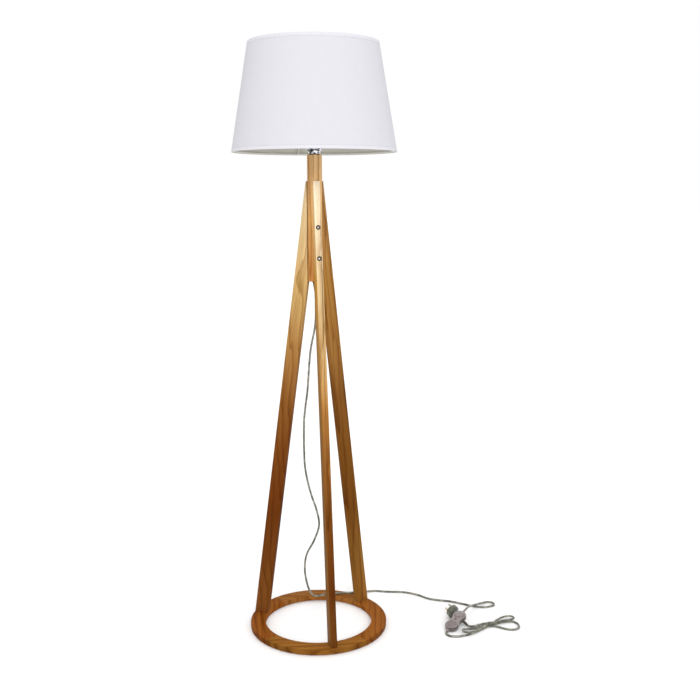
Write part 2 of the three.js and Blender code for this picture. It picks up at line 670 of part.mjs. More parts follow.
// ---------------------------------------------------------------- the free lead
piece("cord_to_switch", cordTube(LEAD_TO_SWITCH, CORD_RADIUS, 70), MATERIAL.clearFlex);
piece("cord_to_hank", cordTube(LEAD_TO_HANK, CORD_RADIUS, 10), MATERIAL.clearFlex);
piece("cord_to_plug", cordTube(LEAD_TO_PLUG, CORD_RADIUS, 3), MATERIAL.clearFlex);

// The folded hank, seen from above: one round end to the left, and two round ends to the right.
function hankOutline() {
  const shape = new THREE.Shape();
  shape.absarc(368, -151.5, 12.5, rad(103), rad(270), false);
  shape.lineTo(TIE.x - 8, TIE.y - TIE.inner + GAP);
  shape.lineTo(TIE.x + 7, TIE.y - TIE.inner + GAP);
  shape.absarc(489, -151, 25, rad(-128), rad(0), false);
  shape.absarc(503, -112, 14, rad(0), rad(112), false);
  shape.lineTo(TIE.x + 7, TIE.y + TIE.inner - GAP);
  shape.lineTo(TIE.x - 8, TIE.y + TIE.inner - GAP);
  return shape;
}

function hankTie() {
  const { inner, outer, high, wide } = TIE;
  const low = 0.1;
  const roof = high - 1.4;
  const inside = [[-inner, low], [-inner, roof], [inner, roof], [inner, low]];
  const outline = polygonShape([[-outer, low], ...inside, [outer, low], [outer, high], [-outer, high]]);
  const band = slab(outline, -wide / 2, wide / 2);
  return band.rotateX(Math.PI / 2).rotateZ(Math.PI / 2).translate(TIE.x, TIE.y, 0);
}

piece("cord_hank", slab(hankOutline(), 0.1, HANK_HIGH, 8), MATERIAL.clearFlex);
piece("hank_tie", hankTie(), MATERIAL.darkRubber);

export default lamp;
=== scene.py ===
# The looks of the tripod floor lamp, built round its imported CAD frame. Metres, +Z up, in the row frame:
# the origin is on the floor at the centre of the base ring, and the front leg stands on -Y.
import json
import math

import bpy
from mathutils import Matrix, Vector


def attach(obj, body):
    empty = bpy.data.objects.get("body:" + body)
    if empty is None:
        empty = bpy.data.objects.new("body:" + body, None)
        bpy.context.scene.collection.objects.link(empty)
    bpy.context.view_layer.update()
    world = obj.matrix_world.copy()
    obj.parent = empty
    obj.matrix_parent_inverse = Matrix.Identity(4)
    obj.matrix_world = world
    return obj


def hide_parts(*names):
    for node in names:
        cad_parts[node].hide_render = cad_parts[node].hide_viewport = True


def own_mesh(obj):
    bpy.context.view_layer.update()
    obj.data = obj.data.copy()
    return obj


# ---------------------------------------------------------------- driving dimensions
CAMERA = {
    "place": (-0.5024, -2.3139, 1.1408),
    "heading": 14.34,
    "pitch": 9.507,
    "roll": -0.19,
    "lens": 48.26,
    "sensor": 36,
}
CORD_DIAMETER = 0.0055
CORD_STEP = 0.003
# The way each leg faces, and how far it leans in for each metre up.
LEG_ANGLES = {"front": -90, "right": 30, "left": 150}
LEG_SLOPE = 0.13657
LEG_TOP = 1.17
BOLT_HEIGHTS = (1.057, 0.981)
POLE = {"low": 0.92, "tall": 0.3125}
# The ring's glue joints are evenly spaced from RING_TURN degrees before +X.
RING_SEGMENTS = 4
RING_TURN = 60
# The edges of wooden pieces are rounded by this much. Facets that meet at less than SHARP_ANGLE look smooth.
ROUNDED_EDGES = {"base_ring": 0.0012, "centre_pole": 0.0006, "legs": 0.0012}
SHARP_ANGLE = math.radians(34)

SHADE = {"bottom": 1.240, "top": 1.500, "bottom_radius": 0.2045, "top_radius": 0.1605}
# How far the fabric lies within the shade's outer cone: under the hem tapes, between them, and on its inside.
COVER = {"hem": 0.0083, "tucked": 0.0008, "flush": 0.0003, "inside": 0.002, "step": 0.0001, "sides": 192}
SEAM = {"half": 0.005, "inner": 0.00005, "outer": 0.0003, "gap": 0.0002}

SWITCH = {"centre": (0.3497, -0.1104, 0.0096), "yaw": 39.7, "tilt": 14, "lobe_x": 0.021, "top": 0.013}
RIBS = {"each_side": 4, "pitch": 0.0028, "half": 0.0006, "tall": 0.0007, "sunk": 0.0002, "reach": 0.0135}
SPRING = {"turns": 2.5, "low": 0.0025, "high": 0.0123, "radius": 0.009, "wire": 0.00045, "pressed": 0.76}
# The strain relief leaves the plug at its start, runs down to end_z, and gets thinner by its taper.
RELIEF = {
    "start": (0.3657, -0.0758, 0.0134),
    "yaw": -72.5,
    "long": 0.0473,
    "end_z": 0.00325,
    "radius": 0.004,
    "taper": 0.0009,
    "base": 0.0018,
    "ribbed": (0.003, 0.0453),
    "ribs": 16,
    "groove": 0.0006,
    "tip": 0.0015,
    "tip_inset": 0.0002,
}
# Where a rib's crest ends, and the groove after it starts and ends, as shares of the way to the next rib.
RIB_PROFILE = {"crest_end": 0.55, "groove_start": 0.65, "groove_end": 0.9}
TIE = {
    "middle": (0.437, -0.1346, 0.0062),
    "half": 0.0056,
    "corner": 0.0028,
    "thick": 0.0006,
    "wide": 0.005,
}

ROOM = {"sides": 0.66, "ceiling": 0.6}
KEY = {"from": (-0.12, -1, 0.42), "strength": 1.35, "spread": 22}

# The lead from the gland under the pole to the foot switch's far end, as it hangs and lies.
LEAD_TO_SWITCH = [
    (0, 0, 0.8967), (0, 0.001, 0.87), (0, 0.004, 0.822), (-0.003, 0.007, 0.794), (-0.01, 0.013, 0.755),
    (-0.014, 0.018, 0.715), (-0.016, 0.024, 0.672), (-0.018, 0.03, 0.632), (-0.022, 0.036, 0.593),
    (-0.025, 0.043, 0.551), (-0.0245, 0.05, 0.508), (-0.023, 0.057, 0.465), (-0.02, 0.064, 0.422),
    (-0.012, 0.071, 0.378), (0, 0.077, 0.333), (0.015, 0.083, 0.288), (0.023, 0.09, 0.243),
    (0.011, 0.102, 0.195), (-0.008, 0.115, 0.15), (-0.011, 0.126, 0.103), (-0.004, 0.134, 0.06),
    (0.003, 0.138, 0.038), (0.01, 0.1382, 0.024), (0.02, 0.1365, 0.0168), (0.033, 0.1325, 0.0178),
    (0.046, 0.132, 0.02), (0.062, 0.133, 0.0198), (0.082, 0.132, 0.0194), (0.104, 0.1305, 0.0194),
    (0.126, 0.1255, 0.0194), (0.141, 0.129, 0.0192), (0.157, 0.1385, 0.0136), (0.171, 0.15, 0.0068),
    (0.185, 0.1575, 0.0034), (0.203, 0.156, 0.0029), (0.2225, 0.147, 0.00285), (0.246, 0.138, 0.00285),
    (0.269, 0.131, 0.00285), (0.292, 0.118, 0.00285), (0.313, 0.0975, 0.00285), (0.334, 0.067, 0.00285),
    (0.358, 0.05, 0.00285), (0.387, 0.034, 0.00285), (0.415, 0.01, 0.00285), (0.438, -0.012, 0.00285),
    (0.455, -0.0215, 0.00285), (0.47, -0.026, 0.00285), (0.4865, -0.0245, 0.00285),
    (0.4963, -0.0205, 0.00285), (0.5004, -0.0107, 0.00285), (0.4963, -0.0009, 0.00285),
    (0.4865, 0.0033, 0.003), (0.468, -0.0035, 0.0052), (0.45, -0.015, 0.0089), (0.437, -0.025, 0.0125),
    (0.424, -0.037, 0.0175), (0.411, -0.051, 0.0228), (0.399, -0.066, 0.0266), (0.3915, -0.075, 0.0278),
    (0.3844, -0.0816, 0.0265),
]
# The lead from the foot switch's near end, through the hank and its tie, to the plug's strain relief.
LEAD_TO_PLUG = [
    (0.3125, -0.1413, 0.0033), (0.3095, -0.1447, 0.003), (0.308, -0.1515, 0.00285), (0.3105, -0.16, 0.00285),
    (0.318, -0.167, 0.00285), (0.331, -0.1715, 0.00285), (0.348, -0.1715, 0.00285), (0.366, -0.1682, 0.00285),
    (0.384, -0.161, 0.00285), (0.404, -0.1518, 0.00285), (0.421, -0.1425, 0.0031), (0.431, -0.1382, 0.0034),
    (0.437, -0.1374, 0.0034), (0.446, -0.1415, 0.0032), (0.456, -0.149, 0.00285), (0.466, -0.16, 0.00285),
    (0.478, -0.1695, 0.00285), (0.491, -0.1728, 0.00285), (0.503, -0.1685, 0.00285),
    (0.5105, -0.1575, 0.00285), (0.5125, -0.1435, 0.00285), (0.5075, -0.131, 0.00285),
    (0.496, -0.125, 0.00285), (0.482, -0.124, 0.00285),
    (0.466, -0.127, 0.0029), (0.451, -0.131, 0.0032), (0.443, -0.1317, 0.0034), (0.437, -0.1318, 0.0034),
    (0.43, -0.1319, 0.0034), (0.415, -0.1345, 0.003), (0.398, -0.1385, 0.003), (0.383, -0.1408, 0.0038),
    (0.3656, -0.1425, 0.0053), (0.3591, -0.1443, 0.0062), (0.3543, -0.149, 0.0072), (0.3525, -0.1556, 0.008),
    (0.3543, -0.1621, 0.0084), (0.3591, -0.1669, 0.0084), (0.3656, -0.1687, 0.0084), (0.378, -0.1662, 0.0084),
    (0.395, -0.1572, 0.0084), (0.414, -0.1465, 0.0085), (0.428, -0.139, 0.0089), (0.437, -0.1373, 0.009),
    (0.4455, -0.134, 0.0089), (0.456, -0.125, 0.0085), (0.468, -0.1155, 0.0077), (0.48, -0.1075, 0.007),
    (0.49, -0.1034, 0.0067), (0.5015, -0.102, 0.0068), (0.5076, -0.1036, 0.0071), (0.512, -0.1081, 0.0075),
    (0.5136, -0.1141, 0.0079), (0.512, -0.1202, 0.0082), (0.5076, -0.1246, 0.0084), (0.5015, -0.1262, 0.0085),
    (0.489, -0.1271, 0.0085), (0.474, -0.128, 0.0085), (0.456, -0.1306, 0.0087), (0.445, -0.1317, 0.009),
    (0.437, -0.1318, 0.009), (0.428, -0.1315, 0.0089), (0.415, -0.1314, 0.0081), (0.404, -0.132, 0.0066),
    (0.394, -0.1314, 0.005), (0.3868, -0.1288, 0.0039), (0.3822, -0.1247, 0.0033), (0.3798, -0.1204, 0.00325),
]

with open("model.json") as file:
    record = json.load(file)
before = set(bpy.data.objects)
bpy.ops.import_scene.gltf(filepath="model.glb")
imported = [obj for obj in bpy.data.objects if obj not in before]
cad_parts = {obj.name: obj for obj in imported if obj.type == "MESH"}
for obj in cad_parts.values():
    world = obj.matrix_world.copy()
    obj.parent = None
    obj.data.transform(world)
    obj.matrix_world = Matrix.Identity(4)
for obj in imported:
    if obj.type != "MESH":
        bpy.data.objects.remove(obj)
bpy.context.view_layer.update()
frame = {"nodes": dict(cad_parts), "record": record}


# ---------------------------------------------------------------- camera
def add_camera():
    camera = bpy.data.objects.new("camera", bpy.data.cameras.new("camera"))
    bpy.context.scene.collection.objects.link(camera)
    camera.data.lens = CAMERA["lens"]
    camera.data.sensor_width = CAMERA["sensor"]
    turn = Matrix.Rotation(-math.radians(CAMERA["heading"]), 4, "Z")
    nod = Matrix.Rotation(math.radians(90 - CAMERA["pitch"]), 4, "X")
    roll = Matrix.Rotation(math.radians(CAMERA["roll"]), 4, "Z")
    camera.matrix_world = Matrix.Translation(CAMERA["place"]) @ turn @ nod @ roll
    bpy.context.scene.camera = camera


add_camera()


# ---------------------------------------------------------------- shapes
def smooth_path(points, step):
    """Points every `step` or so along the centripetal curve through the given ones."""
    knots = [Vector(p) for p in points]
    knots = [2 * knots[0] - knots[1], *knots, 2 * knots[-1] - knots[-2]]
    path = []
    for a, b, c, d in zip(knots, knots[1:], knots[2:], knots[3:]):
        t1 = (b - a).length ** 0.5
        t2 = t1 + (c - b).length ** 0.5
        t3 = t2 + (d - c).length ** 0.5
        count = max(2, round((c - b).length / step))
        for i in range(count):
            t = t1 + (t2 - t1) * i / count
            ab = a.lerp(b, t / t1)
            bc = b.lerp(c, (t - t1) / (t2 - t1))
            cd = c.lerp(d, (t - t2) / (t3 - t2))
            abc = ab.lerp(bc, t / t2)
            bcd = bc.lerp(cd, (t - t1) / (t3 - t1))
            path.append(abc.lerp(bcd, (t - t1) / (t2 - t1)))
    return [*path, knots[-2]]


def path_length(path):
    return sum((b - a).length for a, b in zip(path, path[1:]))


def cord_curve(name, points):
    """A round cord along a smooth path through the points, and its length."""
    path = smooth_path(points, CORD_STEP)
    curve = bpy.data.curves.new(name, "CURVE")
    curve.dimensions = "3D"
    curve.bevel_depth = CORD_DIAMETER / 2
    curve.bevel_resolution = 4
    curve.use_fill_caps = True
    spline = curve.splines.new("POLY")
    spline.points.add(len(path) - 1)
    for point, place in zip(spline.points, path):
        point.co = (*place, 1)
    spline.use_smooth = True
    cord = bpy.data.objects.new(name, curve)
    bpy.context.scene.collection.objects.link(cord)
    return cord, path_length(path)


def mesh_object(name, vertices, faces, smooth=True):
    mesh = bpy.data.meshes.new(name)
    mesh.from_pydata([tuple(v) for v in vertices], [], faces)
    mesh.update()
    for polygon in mesh.polygons:
        polygon.use_smooth = smooth
    made = bpy.data.objects.new(name, mesh)
    bpy.context.scene.collection.objects.link(made)
    return made


def turned(name, profile, sides, place):
    """A closed solid turned about the local Z axis of `place`, from (radius, z) points off the axis."""
    vertices = []
    for radius, z in profile:
        for i in range(sides):
            angle = 2 * math.pi * i / sides
            vertices.append(place @ Vector((radius * math.cos(angle), radius * math.sin(angle), z)))
    faces = [tuple(reversed(range(sides)))]
    for row in range(len(profile) - 1):
        for i in range(sides):
            low, high = row * sides, (row + 1) * sides
            following = (i + 1) % sides
            faces.append((low + i, low + following, high + following, high + i))
    faces.append(tuple(range((len(profile) - 1) * sides, len(profile) * sides)))
    return mesh_object(name, vertices, faces)


def band(name, outline, thick, low, high, place):
    """A closed strap: a flat loop of points and its copy grown outwards by `thick`, from low to high."""
    middle = sum((Vector(p) for p in outline), Vector((0, 0))) / len(outline)
    grown = [Vector(p) + (Vector(p) - middle).normalized() * thick for p in outline]
    count = len(outline)
    loops = [(outline, low), (grown, low), (grown, high), (outline, high)]
    vertices = [place @ Vector((p[0], p[1], z)) for loop, z in loops for p in loop]
    faces = []
    for row in range(4):
        here, there = row * count, ((row + 1) % 4) * count
        for i in range(count):
            following = (i + 1) % count
            faces.append((here + i, here + following, there + following, there + i))
    return mesh_object(name, vertices, faces)


def soften(made, bevel):
    """Joins the facets of a CAD node for shading, and rounds its sharp edges where `bevel` isn't 0."""
    mesh = made.data
    if "custom_normal" in mesh.attributes:
        mesh.attributes.remove(mesh.attributes["custom_normal"])
    for polygon in mesh.polygons:
        polygon.use_smooth = True
    weld = made.modifiers.new("weld", "WELD")
    weld.merge_threshold = 0.00001
    if bevel:
        rounding = made.modifiers.new("rounding", "BEVEL")
        rounding.width = bevel
        rounding.segments = 2
        rounding.limit_method = "ANGLE"
        rounding.angle_limit = SHARP_ANGLE
    split = made.modifiers.new("split", "EDGE_SPLIT")
    split.split_angle = SHARP_ANGLE


# ---------------------------------------------------------------- materials
def linear(rgb):
    """A colour given as 0-255 display values, as the linear values that a shader takes."""
    parts = [value / 255 for value in rgb]
    return (*[v / 12.92 if v <= 0.04045 else ((v + 0.055) / 1.055) ** 2.4 for v in parts], 1)


def grey(value):
    return (value, value, value, 1)


class Shader:
    """A material's node tree, with short ways to add and join its nodes."""

    def __init__(self, name, roughness=0.5, metallic=0.0):
        self.material = bpy.data.materials.new(name)
        self.material.use_nodes = True
        self.tree = self.material.node_tree
        self.surface = self.tree.nodes["Principled BSDF"]
        self.surface.inputs["Roughness"].default_value = roughness
        self.surface.inputs["Metallic"].default_value = metallic

    def add(self, kind, **settings):
        node = self.tree.nodes.new(kind)
        for name, value in settings.items():
            setattr(node, name, value)
        return node

    def join(self, source, target):
        self.tree.links.new(source, target)

    def place(self):
        return self.add("ShaderNodeTexCoord").outputs["Object"]

    def normal(self):
        return self.add("ShaderNodeTexCoord").outputs["Normal"]

    def feed(self, value, socket):
        """Gives a socket a plain number or colour, or another node's output."""
        if isinstance(value, (int, float, tuple)):
            socket.default_value = value
        else:
            self.join(value, socket)

    def math(self, operation, *values):
        node = self.add("ShaderNodeMath", operation=operation)
        for value, socket in zip(values, node.inputs):
            self.feed(value, socket)
        return node.outputs[0]

    def plus(self, *values):
        total = values[0]
        for value in values[1:]:
            total = self.math("ADD", total, value)
        return total

    def times(self, *values):
        total = values[0]
        for value in values[1:]:
            total = self.math("MULTIPLY", total, value)
        return total

    def length(self, x, y):
        return self.math("SQRT", self.plus(self.times(x, x), self.times(y, y)))

    def dot(self, vector, direction):
        node = self.add("ShaderNodeVectorMath", operation="DOT_PRODUCT")
        self.join(vector, node.inputs[0])
        node.inputs[1].default_value = direction
        return node.outputs["Value"]

    def combine(self, *values):
        node = self.add("ShaderNodeCombineXYZ")
        for value, socket in zip(values, node.inputs):
            self.feed(value, socket)
        return node.outputs[0]

    def split(self, vector):
        node = self.add("ShaderNodeSeparateXYZ")
        self.join(vector, node.inputs[0])
        return node.outputs

    def noise(self, vector, scale, detail=3.0, roughness=0.55):
        node = self.add("ShaderNodeTexNoise")
        node.inputs["Scale"].default_value = scale
        node.inputs["Detail"].default_value = detail
        node.inputs["Roughness"].default_value = roughness
        self.join(vector, node.inputs["Vector"])
        return node.outputs["Fac"]

    def clouded(self, vector, coarse, fine, share):
        """Coarse noise with fine noise on it; `share` is the coarse noise's part."""
        patches = self.times(self.noise(vector, coarse, detail=2), share)
        return self.plus(patches, self.times(self.noise(vector, fine, detail=2), 1 - share))

    def ramp(self, value, stops, blend="LINEAR"):
        node = self.add("ShaderNodeValToRGB")
        node.color_ramp.interpolation = blend
        elements = node.color_ramp.elements
        while len(elements) < len(stops):
            elements.new(1)
        for element, (position, colour) in zip(elements, stops):
            element.position = position
            element.color = colour
        self.join(value, node.inputs["Fac"])
        return node.outputs["Color"]

    def multiply(self, colour, other):
        node = self.add("ShaderNodeVectorMath", operation="MULTIPLY")
        self.join(colour, node.inputs[0])
        self.join(other, node.inputs[1])
        return node.outputs[0]

    def mix(self, factor, first, second):
        """The first colour where the factor is 0 and the second where it is 1."""
        node = self.add("ShaderNodeMix", data_type="RGBA")
        self.feed(factor, node.inputs["Factor"])
        self.feed(first, node.inputs[6])
        self.feed(second, node.inputs[7])
        return node.outputs[2]

    def toned(self, colour, factor):
        """A colour made lighter or darker by a factor round 1."""
        return self.multiply(colour, self.combine(factor, factor, factor))

    def shaded(self, rgb, factor):
        """A plain colour, made lighter or darker by a factor round 1."""
        base = self.add("ShaderNodeRGB")
        base.outputs[0].default_value = linear(rgb)
        return self.toned(base.outputs[0], factor)

    def swing(self, value, amount):
        """A noise value from 0 to 1, as a factor round 1."""
        return self.plus(self.times(self.plus(value, -0.5), amount), 1)

    def outward(self, x, y):
        """How much a face looks away from the lamp's upright axis, times its distance from the axis."""
        normal_x, normal_y, _ = self.split(self.normal())
        return self.plus(self.times(normal_x, x), self.times(normal_y, y))

    def turned_by(self, vector, angle):
        node = self.add("ShaderNodeVectorRotate", rotation_type="Z_AXIS")
        self.join(vector, node.inputs["Vector"])
        self.feed(angle, node.inputs["Angle"])
        return node.outputs[0]

    def bump(self, height, strength, distance):
        node = self.add("ShaderNodeBump")
        node.inputs["Strength"].default_value = strength
        node.inputs["Distance"].default_value = distance
        self.join(height, node.inputs["Height"])
        self.join(node.outputs["Normal"], self.surface.inputs["Normal"])

    def colour(self, source):
        self.join(source, self.surface.inputs["Base Color"])


# Each leg is its own board, lighter towards the top: partly its own tone, partly a painted falloff of light.
# A share of its height, and the colour there.
LEG_TONE_AND_LIGHT = {
    "front": [
        (0.00, (98, 60, 22)),
        (0.13, (84, 42, 12)),
        (0.26, (100, 56, 18)),
        (0.40, (134, 87, 38)),
        (0.52, (156, 107, 53)),
        (0.64, (180, 145, 94)),
        (0.78, (199, 172, 129)),
        (1.00, (226, 208, 178)),
    ],
    "right": [
        (0.00, (144, 97, 42)),
        (0.13, (127, 88, 37)),
        (0.26, (105, 64, 20)),
        (0.40, (104, 64, 21)),
        (0.52, (109, 69, 27)),
        (0.64, (137, 96, 48)),
        (0.78, (152, 110, 53)),
        (1.00, (158, 119, 75)),
    ],
    "left": [
        (0.00, (114, 69, 28)),
        (0.13, (98, 55, 19)),
        (0.26, (87, 43, 11)),
        (0.40, (101, 55, 18)),
        (0.52, (120, 76, 33)),
        (0.64, (147, 106, 57)),
        (0.78, (184, 151, 96)),
        (1.00, (214, 192, 150)),
    ],
}
# The front leg's broad side faces are painted darker and browner than its narrow outer face, as shade where
# less light falls on them.
SIDE_FACE_SHADE = {
    "front": [
        (0.00, (118, 78, 30)),
        (0.30, (120, 78, 24)),
        (0.50, (134, 94, 42)),
        (0.65, (162, 122, 66)),
        (0.80, (176, 132, 60)),
        (1.00, (226, 206, 168)),
    ],
}
# The pole's colour by share of its height: partly its own tone, partly painted light, lighter towards the top
# as on the legs.
POLE_TONE_AND_LIGHT = [(0.0, (182, 124, 66)), (0.5, (196, 150, 90)), (1.0, (214, 176, 128))]
# The glued segments of the base ring, anticlockwise from the one right of the front leg to the one under it.
RING_COLOURS = [(136, 81, 30), (136, 89, 41), (129, 74, 25), (139, 91, 36)]
# Half the width of a glue joint, as a share of a segment, and how much darker it is; then how strongly the
# ring's outer side is darkened with painted shade and its inner side lightened with painted light.
RING_JOINT = {"half": 0.0017, "darker": 0.3}
RIM_PAINTED_SHADE = 1.4
# The distance between growth rings in each board, and how fast they lean across it.
LEG_GRAIN = {
    "front": {"spacing": 0.006, "lean": 0.015},
    "right": {"spacing": 0.017, "lean": 0.06},
    "left": {"spacing": 0.019, "lean": 0.16},
}
POLE_GRAIN = {"spacing": 0.011, "lean": 0.03}
RING_GRAIN = {"spacing": 0.017, "lean": 0.1}
# The pith lies beside each board. The rings stray from circles by these shares of the distance between them.
PITH = {"across": 0.025, "depth": 0.04}
STRAYING = {"wander": 1.6, "ripple": 1.9}
# How dark the wood is over the growth of one ring, pale in spring and dark in late summer.
RING_GROWTH = [(0.0, grey(0.05)), (0.6, grey(0.2)), (0.92, grey(0.8)), (1.0, grey(0.1))]
BAND_CONTRAST = 2.2
FIBRE_CONTRAST = 0.7
DARKNESS = 0.1
LIGHT_GRAIN = (1.26, 1.28, 1.32, 1)
DARK_GRAIN = (0.68, 0.56, 0.45, 1)
END_DARKER = 0.35


def growth_rings(shader, across, depth, along, seed, spacing, lean):
    """How dark the growth rings are, round a pith that leans along the board."""
    wander_at = shader.combine(shader.plus(shader.times(along, 5), seed), seed, 0)
    wander = shader.times(shader.noise(wander_at, scale=1, detail=1), STRAYING["wander"] * spacing)
    x = shader.plus(across, PITH["across"], shader.times(along, 0.3 * lean), wander)
    y = shader.plus(depth, PITH["depth"], shader.times(along, -lean), wander)
    ripple_at = shader.combine(
        shader.times(across, 30), shader.times(depth, 30), shader.plus(shader.times(along, 4), seed)
    )
    ripple = shader.times(shader.noise(ripple_at, scale=1, detail=3), STRAYING["ripple"] * spacing)
    rippled = shader.plus(shader.length(x, y), ripple)
    return shader.ramp(shader.math("FRACT", shader.times(rippled, 1 / spacing)), RING_GROWTH)


def wood_grain(shader, across, depth, along, seed, spacing, lean):
    """How dark the wood is, from 0 to 1: growth rings, long bands and fine fibres."""
    rings = growth_rings(shader, across, depth, along, seed, spacing, lean)
    bands_at = shader.combine(
        shader.times(shader.plus(across, seed), 70),
        shader.times(shader.plus(depth, shader.times(along, 0.06)), 42),
        shader.times(along, 2.4),
    )
    fibres_at = shader.combine(shader.times(across, 900), shader.times(depth, 700), shader.times(along, 18))
    bands = shader.times(shader.plus(shader.noise(bands_at, scale=1, detail=3), -0.5), BAND_CONTRAST)
    fibres = shader.times(shader.plus(shader.noise(fibres_at, scale=1, detail=2), -0.5), FIBRE_CONTRAST)
    total = shader.plus(rings, bands, fibres, DARKNESS)
    return shader.math("MINIMUM", shader.math("MAXIMUM", total, 0), 1)


def finish_wood(shader, colour, grain, end_grain):
    """Colours the wood by its grain, darkens the cut ends, and leaves the surface matt."""
    grained = shader.multiply(colour, shader.mix(grain, LIGHT_GRAIN, DARK_GRAIN))
    ends = shader.plus(1, shader.times(shader.math("ABSOLUTE", end_grain), -END_DARKER))
    shader.colour(shader.toned(grained, ends))
    shader.bump(grain, strength=0.15, distance=0.0003)
    shader.surface.inputs["Specular IOR Level"].default_value = 0.01
    return shader.material


def leg_wood(side):
    """A board along its leg, with painted shade on the broad side faces of the leg that has its own side-face
    colours.
    """
    angle = math.radians(LEG_ANGLES[side])
    outward = Vector((math.cos(angle), math.sin(angle), 0))
    across = Vector((-math.sin(angle), math.cos(angle), 0))
    along = (Vector((0, 0, 1)) - outward * LEG_SLOPE).normalized()
    depth = outward + Vector((0, 0, LEG_SLOPE))
    shader = Shader(f"leg_wood_{side}", roughness=0.42)
    at = shader.place()
    in_board = [shader.dot(at, direction) for direction in (across, depth, along)]
    grain = wood_grain(shader, *in_board, seed=3.1 + 1.7 * angle, **LEG_GRAIN[side])
    height = shader.times(shader.dot(at, (0, 0, 1)), 1 / LEG_TOP)
    # Partly the board's own tone, partly painted light: lighter towards the top, darker towards the floor.
    colour = shader.ramp(height, [(z, linear(rgb)) for z, rgb in LEG_TONE_AND_LIGHT[side]])
    if side in SIDE_FACE_SHADE:
        # Painted shade: the front leg's broad side faces take their own darker, browner colours.
        side_shade_mask = shader.math("ABSOLUTE", shader.dot(shader.normal(), across))
        shaded_side_colour = shader.ramp(height, [(z, linear(rgb)) for z, rgb in SIDE_FACE_SHADE[side]])
        colour = shader.mix(shader.math("GREATER_THAN", side_shade_mask, 0.7), colour, shaded_side_colour)
    return finish_wood(shader, colour, grain, shader.dot(shader.normal(), along))


def pole_wood():
    shader = Shader("pole_wood", roughness=0.4)
    x, y, z = shader.split(shader.place())
    height = shader.times(shader.plus(z, -POLE["low"]), 1 / POLE["tall"])
    colour = shader.ramp(height, [(share, linear(rgb)) for share, rgb in POLE_TONE_AND_LIGHT])
    grain = wood_grain(shader, x, y, z, seed=0.7, **POLE_GRAIN)
    return finish_wood(shader, colour, grain, shader.dot(shader.normal(), (0, 0, 1)))


def ring_wood():
    """The ring is glued up from segments: each has its own straight grain, colour and a fine joint line.
    Painted shade darkens its outer side and painted light brightens its inner side.
    """
    shader = Shader("ring_wood", roughness=0.42)
    at = shader.place()
    x, y, _ = shader.split(at)
    wedge = 2 * math.pi / RING_SEGMENTS
    turn = shader.plus(shader.math("ARCTAN2", y, x), math.radians(RING_TURN) + 2 * math.pi)
    share = shader.times(turn, 1 / wedge)
    index = shader.math("MODULO", shader.math("FLOOR", share), RING_SEGMENTS)
    chance = shader.add("ShaderNodeTexWhiteNoise", noise_dimensions="1D")
    shader.join(index, chance.inputs["W"])
    middle = shader.plus(shader.times(shader.plus(index, 0.5), wedge), -math.radians(RING_TURN))
    skew = shader.times(shader.plus(chance.outputs["Value"], -0.5), 0.35)
    back = shader.times(shader.plus(middle, skew), -1)
    own = shader.split(shader.turned_by(at, back))
    facing = shader.split(shader.turned_by(shader.normal(), back))
    seed = shader.times(index, 0.37)
    across = shader.plus(own["X"], seed)
    grain = wood_grain(shader, across, own["Z"], own["Y"], seed=seed, **RING_GRAIN)
    to_edge = shader.math("ABSOLUTE", shader.plus(shader.math("FRACT", share), -0.5))
    in_joint = shader.math("GREATER_THAN", to_edge, 0.5 - RING_JOINT["half"])
    joint = shader.plus(1, shader.times(in_joint, -RING_JOINT["darker"]))
    # Painted shade on the ring's outer side and painted light on its inner side, by which way each face
    # looks.
    rim = shader.plus(1, shader.times(shader.outward(x, y), -RIM_PAINTED_SHADE))
    stops = [(i / RING_SEGMENTS, linear(rgb)) for i, rgb in enumerate(RING_COLOURS)]
    segment = shader.ramp(shader.times(shader.plus(index, 0.5), 1 / RING_SEGMENTS), stops, "CONSTANT")
    return finish_wood(shader, shader.toned(segment, shader.times(joint, rim)), grain, facing["Y"])


def speckled(name, rgb, roughness, metallic=0.0, scale=400.0, swing=0.12, bump=0.0):
    """A plain finish with a fine variation of tone, for metal, rubber, felt and moulded parts."""
    shader = Shader(name, roughness, metallic)
    spots = shader.noise(shader.place(), scale)
    shader.colour(shader.shaded(rgb, shader.swing(spots, 2 * swing)))
    if bump:
        shader.bump(spots, strength=bump, distance=0.0003)
    return shader.material


def bolt_steel(side):
    """Dark plated bolts, with a painted highlight in the middle of each hexagon socket."""
    angle = math.radians(LEG_ANGLES[side])
    shader = Shader(f"bolt_steel_{side}", roughness=0.32, metallic=0.9)
    at = shader.place()
    x = shader.dot(at, (-math.sin(angle), math.cos(angle), 0))
    z = shader.dot(at, (0, 0, 1))
    off = [shader.math("ABSOLUTE", shader.plus(z, -height)) for height in BOLT_HEIGHTS]
    y = shader.math("MINIMUM", *off)
    centimetres = shader.times(shader.length(x, y), 100)
    glint_distance = shader.plus(centimetres, shader.times(shader.noise(at, 900), 0.06))
    # Painted highlight in the socket's middle, dark plating round it, lighter towards the head's edge.
    stops = [
        (0.22, linear((214, 212, 208))),
        (0.29, linear((70, 62, 58))),
        (0.46, linear((58, 50, 46))),
        (0.56, linear((120, 110, 102))),
    ]
    shader.colour(shader.ramp(glint_distance, stops))
    return shader.material


